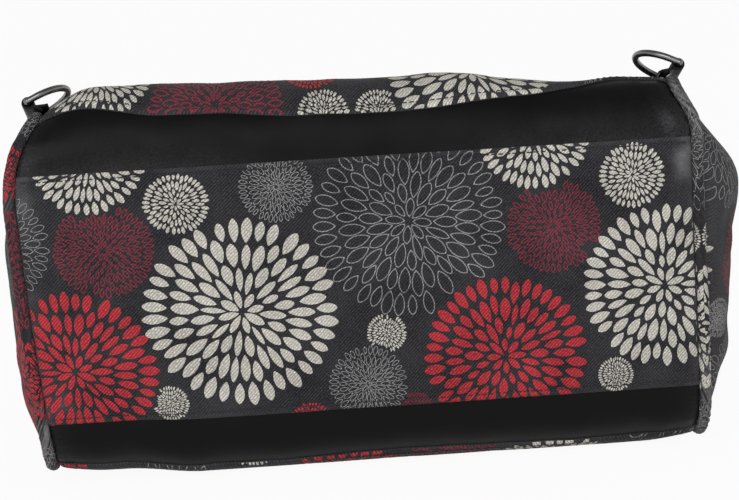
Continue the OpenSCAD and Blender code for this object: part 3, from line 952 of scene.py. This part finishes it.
# %% Piping
piping_twill = twill("piping_twill", (56, 54, 58), (22, 21, 24), 0.5, 0.6, pale_tone=(128, 126, 125))
around = np.linspace(0, round_piping, 37)[:-1]
lengths = np.arange(-mouth_s(FRONT) + 0.6, mouth_s(BACK) - 0.6, 0.9)
lengths = np.concatenate([[-mouth_s(FRONT)], lengths, [mouth_s(BACK)]])
worn_at = {LEFT: ((-82, 22, 1.5), (60, 14, 0.4)), RIGHT: ((90, 26, 1.5), (-84, 30, 1.2))}
for end, word in both_ends:
    w, p = np.meshgrid(around, lengths)
    welt = make_grid(
        word + "_welt", piping_place(end)(p, w), piping_twill, word + "_piping", (p, w),
        loop=True, flip=end == LEFT,
    )
    crown = np.clip(0.25 + np.cos(w / piping_r), 0, 1)
    places = 0.1 + sum(much * hump(p, at, reach) for at, reach, much in worn_at[end])
    paint_wear_and_sheen(welt, np.clip(crown * places * (0.6 - 0.8 * puckers(p, w, end)), 0, 1.6))

# %% [markdown]
# Now the print itself. Each panel is one job: its flowers, the surface they lie on, the edges they are
# cut at, the hems among those edges, and how far the petals are lifted off the cloth. That is about a
# tenth of a millimetre, and up to three times as much at the end seams of the large panels.

# %% Printing the panels
print_lift, end_lift = 0.08, 0.1
end_edge_ys = np.concatenate([np.linspace(end_y0, back_turn_y, 24), [bag_h - 0.5]])
end_rim = [(y, float(end_low(y))) for y in end_edge_ys] + [(y, float(end_high(y))) for y in end_edge_ys[::-1]]
end_edges = []
for (ya, za), (yb, zb) in zip(end_rim, end_rim[1:] + end_rim[:1]):
    size = math.hypot(yb - ya, zb - za)
    if size > 1e-6:
        nx, ny = -(zb - za) / size, (yb - ya) / size
        end_edges.append((nx, ny, -(nx * ya + ny * za) - 0.3))
margin = sheet_x - 0.8
base_edges = frame_edges(-margin, margin, -half_print + 0.05, half_print - 0.05)
jobs = [(base_flowers, base_place, base_edges, base_edges[2:], print_lift, False)]
for side in (FRONT, BACK):
    reach = mouth_s(side) - 1.5
    thrown = scatter(-margin, margin, band_s, reach, 72 + side, panel_flowers[side])
    edges = frame_edges(-margin, margin, band_s + 0.05, reach)
    jobs.append((thrown, panel_place(side), edges, edges[2:3], print_lift, False))
for end in (LEFT, RIGHT):
    thrown = scatter(end_y0, bag_h, 8, 210, 82 + end, end_flowers[end])
    jobs.append((thrown, end_place(end), end_edges, end_edges[-1:], end_lift, False))
    first, last = -mouth_s(FRONT) + 2, mouth_s(BACK) - 2
    thrown = scatter(first, last, 0, round_piping, 92 + end, welt_flowers[end], 60)
    jobs.append((thrown, piping_place(end), frame_edges(first, last, 0, round_piping), [], print_lift, True))
print("in all,", sum(len(job[0]) for job in jobs), "flowers are laid out")

# %% [markdown]
# One mesh holds all petals of one colour, wherever they lie on the bag. Grey and wine flowers are drawn
# with a stroke instead of a filled petal. Points that no face uses after the cutting are left out.

# %% One mesh for each colour
strokes = {"cream": 0.0, "red": 0.0, "wine": 0.029, "grey": 0.0102}
least_stroke = 0.4
inks = {"cream": cream_twill, "red": red_twill, "wine": wine_twill, "grey": grey_twill}
for kind, ink in inks.items():
    all_points, all_uv, all_faces, count = [], [], [], 0
    for flowers, place, edges, hems, lift, fine in jobs:
        for order, (name, x, y, r, turn) in enumerate(flowers):
            if name != kind:
                continue
            stroke = max(least_stroke, strokes[kind] * r) if strokes[kind] else 0.0
            earlier = [f for f in flowers[:order] if math.hypot(x - f[1], y - f[2]) < r + f[3]]
            whole = flower(layouts[kind][order % 3], x, y, r, turn, stroke, fine, earlier)
            flat, faces = cut_print(*whole, edges, hems, 1.0 if fine else 7.0)
            if not faces:
                continue
            all_points.append(place(flat[:, 0], flat[:, 1], lift))
            all_uv.append(flat)
            all_faces += [[count + k for k in f] for f in faces]
            count += len(flat)
    points, uv = np.concatenate(all_points), np.concatenate(all_uv)
    used, back = np.unique(np.concatenate([np.array(f) for f in all_faces]), return_inverse=True)
    ends = np.cumsum([len(f) for f in all_faces])
    faces = [part.tolist() for part in np.split(back, ends[:-1])]
    make_piece(kind + "_petals", points[used], faces, ink, kind + "_print", uv[used].T)

# %% [markdown]
# The hems are topstitched with a dark thread. Each stitch is a short bent rod that comes up out of one
# hole and goes down the next, so it is a tube of a few rings, repeated along the line at the pitch of
# the machine. A dashed texture would lie flat, and stitches catch the light because they stand proud.

# %% One row of stitches
thread = Finish("dark_thread")
twist = thread.noise(thread.object_place(), Scale=2400.0, Detail=2.0)
thread.wire("Base Color", thread.blend(twist, (13, 12, 14), (46, 44, 46)))
thread.settle(Roughness=0.55)
thread_r, thread_rise = 0.4, 0.5
stitch_rings, stitch_corners = 7, 6


def unit(v):
    return v / np.linalg.norm(v, axis=1, keepdims=True)


def stitches(name, starts, ends, outs):
    along = np.linspace(0, 1, stitch_rings)
    arch = np.sin(math.pi * along) ** 0.6
    thick = thread_r * (0.55 + 0.45 * np.sin(math.pi * along) ** 0.5)
    turns = (np.arange(stitch_corners) * 2 * math.pi / stitch_corners)[:, None]
    across = unit(np.cross(unit(ends - starts), outs))
    middle = starts[:, None] + (ends - starts)[:, None] * along[:, None]
    middle = middle + outs[:, None] * (arch * (thread_rise + thread_r) - thread_r)[:, None]
    ring = np.cos(turns) * across[:, None, None] + np.sin(turns) * outs[:, None, None]
    points = middle[:, :, None] + thick[:, None, None] * ring
    points[..., 2] = np.maximum(points[..., 2], 0.02)
    one = grid_faces(stitch_rings, stitch_corners, loop=True)
    faces = np.concatenate([one + stitch_rings * stitch_corners * k for k in range(len(starts))])
    return make_piece(name, points, faces, thread.material)


print("a stitch has", len(grid_faces(stitch_rings, stitch_corners, loop=True)), "faces")

# %% Topstitching
half_stitch = 0.46 * stitch_pitch
stitch_x = np.arange(-46, 47) * stitch_pitch + stitch_pitch / 2
stitch_x = stitch_x[np.abs(stitch_x) < sheet_x - 1]


def seam_stitches(name, place, side, at):
    v = np.full(len(stitch_x), at)
    a, b = place(stitch_x - half_stitch, v, 0.0), place(stitch_x + half_stitch, v, 0.0)
    _, _, ny, nz = outline(np.abs(v), side)
    return stitches(name, a, b, np.stack([0 * ny, ny, nz], axis=1))


for side, word in ((FRONT, "lower"), (BACK, "upper")):
    seam_stitches("base_" + word + "_stitches", base_place, side, side * (half_print - stitch_in))
for side, word in both_sides:
    seam_stitches(word + "_hem_stitches", panel_place(side), side, band_s + stitch_in)
    seam_stitches(word + "_mouth_stitches", panel_place(side), side, mouth_s(side) - 5)

# %% [markdown]
# The strap rings are bent wire, nickel plated. Their solids already have the right shape, so they stay,
# with a metal that has fine scratches and a slightly uneven polish, and a colour darkened well below bright
# nickel as painted shade for the dark surroundings that the rings reflect.

# %% Strap rings
nickel = Finish("nickel_with_painted_shade")
place = nickel.object_place()
cloud = nickel.noise(place, Scale=220.0, Detail=4.0)
# Painted shade: the base colour is darker than bright nickel and stands in for dark surroundings in the
# reflection.
nickel.wire("Base Color", nickel.blend(cloud, (96, 94, 94), (140, 138, 137)))
nickel.wire("Roughness", nickel.remap(cloud, 0.3, 0.7, 0.16, 0.34))
nickel.bump(nickel.noise(place, Scale=1600.0, Detail=2.0, Distortion=2.0), 0.06, 0.0001)
nickel.settle(Metallic=1.0)


def refinish(node, finish):
    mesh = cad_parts[node].data
    mesh.materials.clear()
    mesh.materials.append(finish.material)
    print(node, "keeps its solid and is finished with", finish.material.name)


for end, word in both_ends:
    refinish(word + "_ring", nickel)

# %% [markdown]
# A leather tab holds each ring: a strip folded round the ring's straight bar, with both ends sewn down
# beside the end seam. It is swept along the fold with a flat cross-section whose corners are rounded.
# The feet of the fold are laid on the cloth as it really lies there, lower on the slumped right side.

# %% Fold of a ring tab
ring_inset, ring_back, ring_wire = 2.5, 4.0, 4.0
tab_t, tab_w, tab_corner, bar_gap = 1.6, 30.0, 0.7, 0.15
bore_r = ring_wire / 2 + bar_gap
fold_r = bore_r + tab_t / 2
bar_z = 0.3 + math.sqrt((bore_r + tab_t + piping_r) ** 2 - ring_inset**2)
ring_s = turned_s(BACK) + ring_back


def tab_fold(end):
    seam_d = piping_r + 0.9 - float(lean(ring_s, end))
    feet = np.array([seam_d, seam_d + 1.2, seam_d + 2.8])
    feet_x = end * (seam_x - feet - float(lean(ring_s, end)))
    cloth = cloth_t + swell(ring_s, feet_x, BACK) + dents(ring_s, feet_x, BACK)
    bend = np.radians(np.linspace(250, -52, 26))
    bent = np.stack([ring_inset + fold_r * np.cos(bend), bar_z + fold_r * np.sin(bend)], axis=1)
    under = [[feet[0] + 0.2, cloth[0] + 0.9]] + ([[seam_d - 3.6, 4.7]] if seam_d > 6 else [])
    over = [[feet[1] + 0.4, cloth[1] + 2.2], [feet[2] + 0.6, cloth[2] + 1.3]]
    return np.concatenate([under, bent, over])


def ring_seat(end, local):
    y0, z0, _, _ = outline(np.array(ring_s), BACK)
    x, y, z = local[..., 0], local[..., 1], local[..., 2]
    c, s = math.cos(back_fall), math.sin(back_fall)
    return np.stack([end * (seam_x - x), y0 + y * c + z * s, z0 - y * s + z * c], axis=-1)


print("a tab bends round the bar at a radius of", round(fold_r, 2), "mm")

# %% Ring tabs


def strip_ring(width, thick, corner):
    half_w, half_t = width / 2 - corner, thick / 2 - corner
    turns = np.linspace(0, math.pi / 2, 5)
    ring = []
    for k, (sy, sn) in enumerate(((1, 1), (-1, 1), (-1, -1), (1, -1))):
        a = turns + k * math.pi / 2
        ring.append(np.stack([sy * half_w + corner * np.cos(a), sn * half_t + corner * np.sin(a)], axis=1))
    return np.concatenate(ring)


section = strip_ring(tab_w, tab_t, tab_corner)
for end, word in both_ends:
    fold = tab_fold(end)
    ahead = unit(np.gradient(fold, axis=0))
    normal = np.stack([-ahead[:, 1], ahead[:, 0]], axis=1)
    flat = fold[:, None, :] + normal[:, None, :] * section[None, :, 1:2]
    local = np.stack([flat[..., 0], np.broadcast_to(section[:, 0], flat.shape[:2]), flat[..., 1]], axis=-1)
    rows, cols = local.shape[:2]
    faces = grid_faces(rows, cols, loop=True, flip=end == RIGHT).tolist()
    faces += [list(range(cols)), list(range((rows - 1) * cols, rows * cols))]
    tab = make_piece(
        word + "_tab", ring_seat(end, local), faces, strap_leather, word + "_ring_tab",
        (local[..., 0], local[..., 1]),
    )
    paint_wear_and_sheen(tab, np.full(len(tab.data.vertices), 0.3))
    long = float(np.linalg.norm(np.diff(fold, axis=0), axis=1).sum())

# %% [markdown]
# Two rolled leather handles are sewn to the inside of the mouth. The front one lies flat on the table;
# the back one hangs over the edge of its panel. Each is a tube that flattens into a foot at both ends,
# so one sweep with a changing cross-section makes it.

# %% Line of a handle
handle_d, handle_leg, handle_turn = 12.0, 40.0, 75.0
foot_w, foot_t, foot_in = 24.0, 3.5, 20.0
handle_r = handle_d / 2
handle_arc = np.radians(np.linspace(0, 90, 28))[1:]
steepest = math.radians(72)


def foot(d, side):
    inside = -(leather_t + 0.1 + foot_t / 2)
    return body_point(np.array(mouth_s(side) - d), np.array(handle_turn), side, inside)


def lying_half():
    legs = [np.array([handle_turn, bag_h + y, handle_r]) for y in np.linspace(12, handle_leg, 8)]
    far = bag_h + handle_leg
    bow = [(handle_turn * math.cos(a), far + handle_turn * math.sin(a), handle_r) for a in handle_arc]
    return legs + [np.array(p) for p in bow]


def hanging_half():
    bend_r = 1.2 * handle_d
    lead = foot(-4, BACK)
    leg = handle_leg - 4 - bend_r
    hang = min(steepest, math.asin(min(1, (lead[2] - bend_r - handle_r - 1) / (leg + handle_turn))))
    turns = np.linspace(back_fall, hang, 9)
    c, s = math.cos(back_fall), math.sin(back_fall)
    over = [lead + bend_r * np.array([0, math.sin(a) - s, math.cos(a) - c]) for a in turns]
    down = np.array([0, math.cos(hang), -math.sin(hang)])
    legs = [over[-1] + down * d for d in np.linspace(0, leg, 5)[1:]]
    bow = [(leg + handle_turn * math.sin(a), handle_turn * (1 - math.cos(a))) for a in handle_arc]
    return over + legs + [over[-1] + down * far - [inwards, 0, 0] for far, inwards in bow]


def handle_line(side):
    feet = [foot(d, side) for d in np.linspace(foot_in, 0, 7)]
    half = np.array(feet + (lying_half() if side == FRONT else hanging_half()))
    return np.concatenate([half, (half * [-1, 1, 1])[-2::-1]])


print("the front handle follows", len(handle_line(FRONT)), "points and the back one", len(handle_line(BACK)))

# %% Handles
grip_turns = np.linspace(0, 2 * math.pi, 29)[:-1]
grip_seam = 1 - 0.1 * hump(grip_turns, math.pi, 0.16)


def boxed(wave, power):
    return np.sign(wave) * np.abs(wave) ** power


for side, word in both_sides:
    line = handle_line(side)
    ahead = unit(np.gradient(line, axis=0))
    wide = unit(np.cross([0, 0, 1], ahead))
    tall = np.cross(ahead, wide)
    count = np.arange(len(line))
    rolled = ease((np.minimum(count, count[::-1]) - 6) / 9)[:, None]
    power = 0.28 + 0.72 * rolled
    across = boxed(np.cos(grip_turns), power) * grip_seam * (foot_w + (handle_d - foot_w) * rolled) / 2
    height = boxed(np.sin(grip_turns), power) * grip_seam * (foot_t + (handle_d - foot_t) * rolled) / 2
    close = np.ones((len(line), 1))
    close[[0, -1]] = 0.12
    points = line[:, None] + (close * across)[..., None] * wide[:, None]
    points = points + (close * height)[..., None] * tall[:, None]
    grip = make_grid(
        word + "_grip", points, strap_leather, word + "_handle",
        (grip_turns * handle_r, count[:, None] * 4.0), loop=True,
    )
    paint_wear_and_sheen(grip, np.broadcast_to(0.3 + 0.5 * rolled * (grip_seam > 0.97), points.shape[:2]))

# %% [markdown]
# Inside the mouth runs a leather facing. It is folded over the rim: each pair below is a depth under the
# mouth and a distance from the seam line, and the strip passes through them one after the other.

# %% Facing
facing_fold = [
    (facing_w, -0.1), (1.5, -0.1), (0.4, -0.3), (0.1, -0.8), (0.4, -1.3), (2, -1.5), (facing_w / 2, -1.5),
    (facing_w, -1.5),
]
facing_xs = np.linspace(-(seam_x - 5), seam_x - 5, 90)
facing_bs = np.linspace(0.02, 0.98, 34)
loops = []
for depth, out in facing_fold:
    back_run = body_point(mouth_s(BACK) - depth + 0 * facing_xs, facing_xs, BACK, out)
    front_run = body_point(mouth_s(FRONT) - depth + 0 * facing_xs, facing_xs[::-1], FRONT, out)
    right_run = end_layer(RIGHT, bag_h - depth + 0 * facing_bs, facing_bs[::-1], out - cloth_t / 2)
    left_run = end_layer(LEFT, bag_h - depth + 0 * facing_bs, facing_bs, out - cloth_t / 2)
    loops.append(np.concatenate([back_run, right_run, front_run, left_run]))
loops = np.array(loops)
facing = make_grid(
    "mouth_leather", loops, strap_leather, "mouth_facing", (loops[..., 0], loops[..., 1]),
    loop=True, flip=True,
)
paint_wear_and_sheen(facing, np.full(len(facing.data.vertices), 0.25))
round_mouth = float(np.linalg.norm(np.diff(loops[1], axis=0, append=loops[1][:1]), axis=1).sum())

# %% [markdown]
# Below the facing hangs the lining: one length for front, base and back, and one piece for each end.
# They repeat the outer panels a few millimetres further in, so they follow every fold of the bag, and
# add loose creases of their own. The flat size of an end piece is a round figure, cut on the large side.

# %% Lining
lining_twill = twill("lining_cotton", (96, 90, 84), (66, 62, 58), 0.4, 0.3)
lining_x = seam_x - 3.8
lengthwise = np.linspace(-(mouth_s(FRONT) - facing_w - 0.3), mouth_s(BACK) - facing_w - 0.3, 130)
u, v = np.meshgrid(np.linspace(-lining_x, lining_x, 84), lengthwise)
creases = 0.5 * (1 + ripples(u, v, 46, 71)) + 0.3 * (1 + ripples(u, v, 17, 72))
inner = -(board_t + 0.4) - creases * np.clip((lining_x - np.abs(u)) / 12, 0, 1)
both = [body_point(np.abs(v), u, side, inner) for side in (BACK, FRONT)]
lining = make_grid(
    "body_lining_cloth", np.where((v > 0)[..., None], *both), lining_twill, "body_lining",
    (u, v), flip=True,
)
for end, word in both_ends:
    b, y = np.meshgrid(np.linspace(0, 1, 50), np.linspace(end_y0 + 0.3, bag_h - facing_w - 1.5, 90))
    loose = 0.6 * (1 + ripples(y, 160 * b, 40, 75 + end)) * np.clip(np.minimum(b, 1 - b) * 12, 0, 1)
    end_lining = make_grid(
        word + "_lining_cloth", end_layer(end, y, b, -3.2 - loose), lining_twill,
        word + "_lining", (y, 160 * b), flip=end == RIGHT,
    )

# %% [markdown]
# A stiff board behind the printed base keeps it flat. It is closed in by the lining, so its solid stays
# and only gets the flecked grey of pulp board.

# %% Base board
board = Finish("pulp_board")
pulp = board.noise(board.object_place(), Scale=700.0, Detail=6.0)
board.wire("Base Color", board.blend(pulp, (118, 106, 88), (168, 156, 134)))
board.settle(Roughness=0.95)
refinish("base_board", board)

# %% [markdown]
# The floor is plain and pale and keeps the bag's shadow. Seen by the camera or in a reflection, most of
# its colour is an even white, which is only a backdrop and throws no extra light on the bag.

# %% Floor
floor_mesh = bpy.data.meshes.new("floor")
floor_mesh.from_pydata([(-60, -20, 0), (60, -20, 0), (60, 90, 0), (-60, 90, 0)], [], [(0, 1, 2, 3)])
floor = bpy.data.objects.new("floor", floor_mesh)
bpy.context.scene.collection.objects.link(floor)
floor_paint = Finish("floor_paint")
mottle = floor_paint.add("ShaderNodeTexNoise", Scale=3.0, Detail=2.0).outputs["Fac"]
paper = floor_paint.add("ShaderNodeMix", [(0, mottle)], data_type="RGBA")
paper.inputs[6].default_value = (0.90, 0.90, 0.90, 1)
paper.inputs[7].default_value = (0.93, 0.93, 0.93, 1)
floor_paint.wire("Base Color", paper.outputs[2])
floor_paint.settle(Roughness=0.9, Specular_IOR_Level=0.1)
seen = floor_paint.add("ShaderNodeLightPath").outputs
either = floor_paint.maths("MAXIMUM", seen["Is Camera Ray"], seen["Is Glossy Ray"])
share = floor_paint.add("ShaderNodeMath", [(0, either)], operation="MULTIPLY")
share.inputs[1].default_value = 0.94
glow = floor_paint.add("ShaderNodeEmission", Strength=1.0).outputs[0]
layers = [(0, share.outputs[0]), (1, floor_paint.shader.outputs[0]), (2, glow)]
backdrop = floor_paint.add("ShaderNodeMixShader", layers).outputs[0]
floor_paint.links.new(backdrop, floor_paint.nodes["Material Output"].inputs["Surface"])
floor_mesh.materials.append(floor_paint.material)
print("the floor is", round(floor.dimensions.x), "metres wide")

# %% [markdown]
# The light is a plain studio: a white horizon, a dim ceiling so that the leather stays black where it
# turns upwards, and one wide soft lamp beside the camera.

# %% World and lamp
world = bpy.data.worlds.new("studio")
bpy.context.scene.world = world
world.use_nodes = True
sky = Recipe(world.node_tree)
direction = sky.add("ShaderNodeTexCoord").outputs["Generated"]
height = sky.add("ShaderNodeSeparateXYZ", [(0, direction)]).outputs["Z"]
ramp = sky.add("ShaderNodeValToRGB", [(0, height)])
for stop, (at, grey) in zip(ramp.color_ramp.elements, ((0.22, 1.0), (0.75, 0.3))):
    stop.position = at
    stop.color = (grey, grey, grey, 1)
sky.links.new(ramp.outputs[0], sky.nodes["Background"].inputs["Color"])
sky.nodes["Background"].inputs["Strength"].default_value = 1.0

lamp = bpy.data.objects.new("soft_lamp", bpy.data.lights.new("soft_lamp", "AREA"))
lamp.data.shape = "RECTANGLE"
lamp.data.size, lamp.data.size_y = 1.8, 1.2
lamp.data.energy = 22
lamp.location = (-0.5, -2.3, 1.2)
lamp_aim = Vector((0, -0.1, 0.1)) - Vector(lamp.location)
lamp.rotation_euler = lamp_aim.to_track_quat("-Z", "Y").to_euler()
bpy.context.scene.collection.objects.link(lamp)
print("world and lamp are set, the lamp at", lamp.data.energy, "watts")
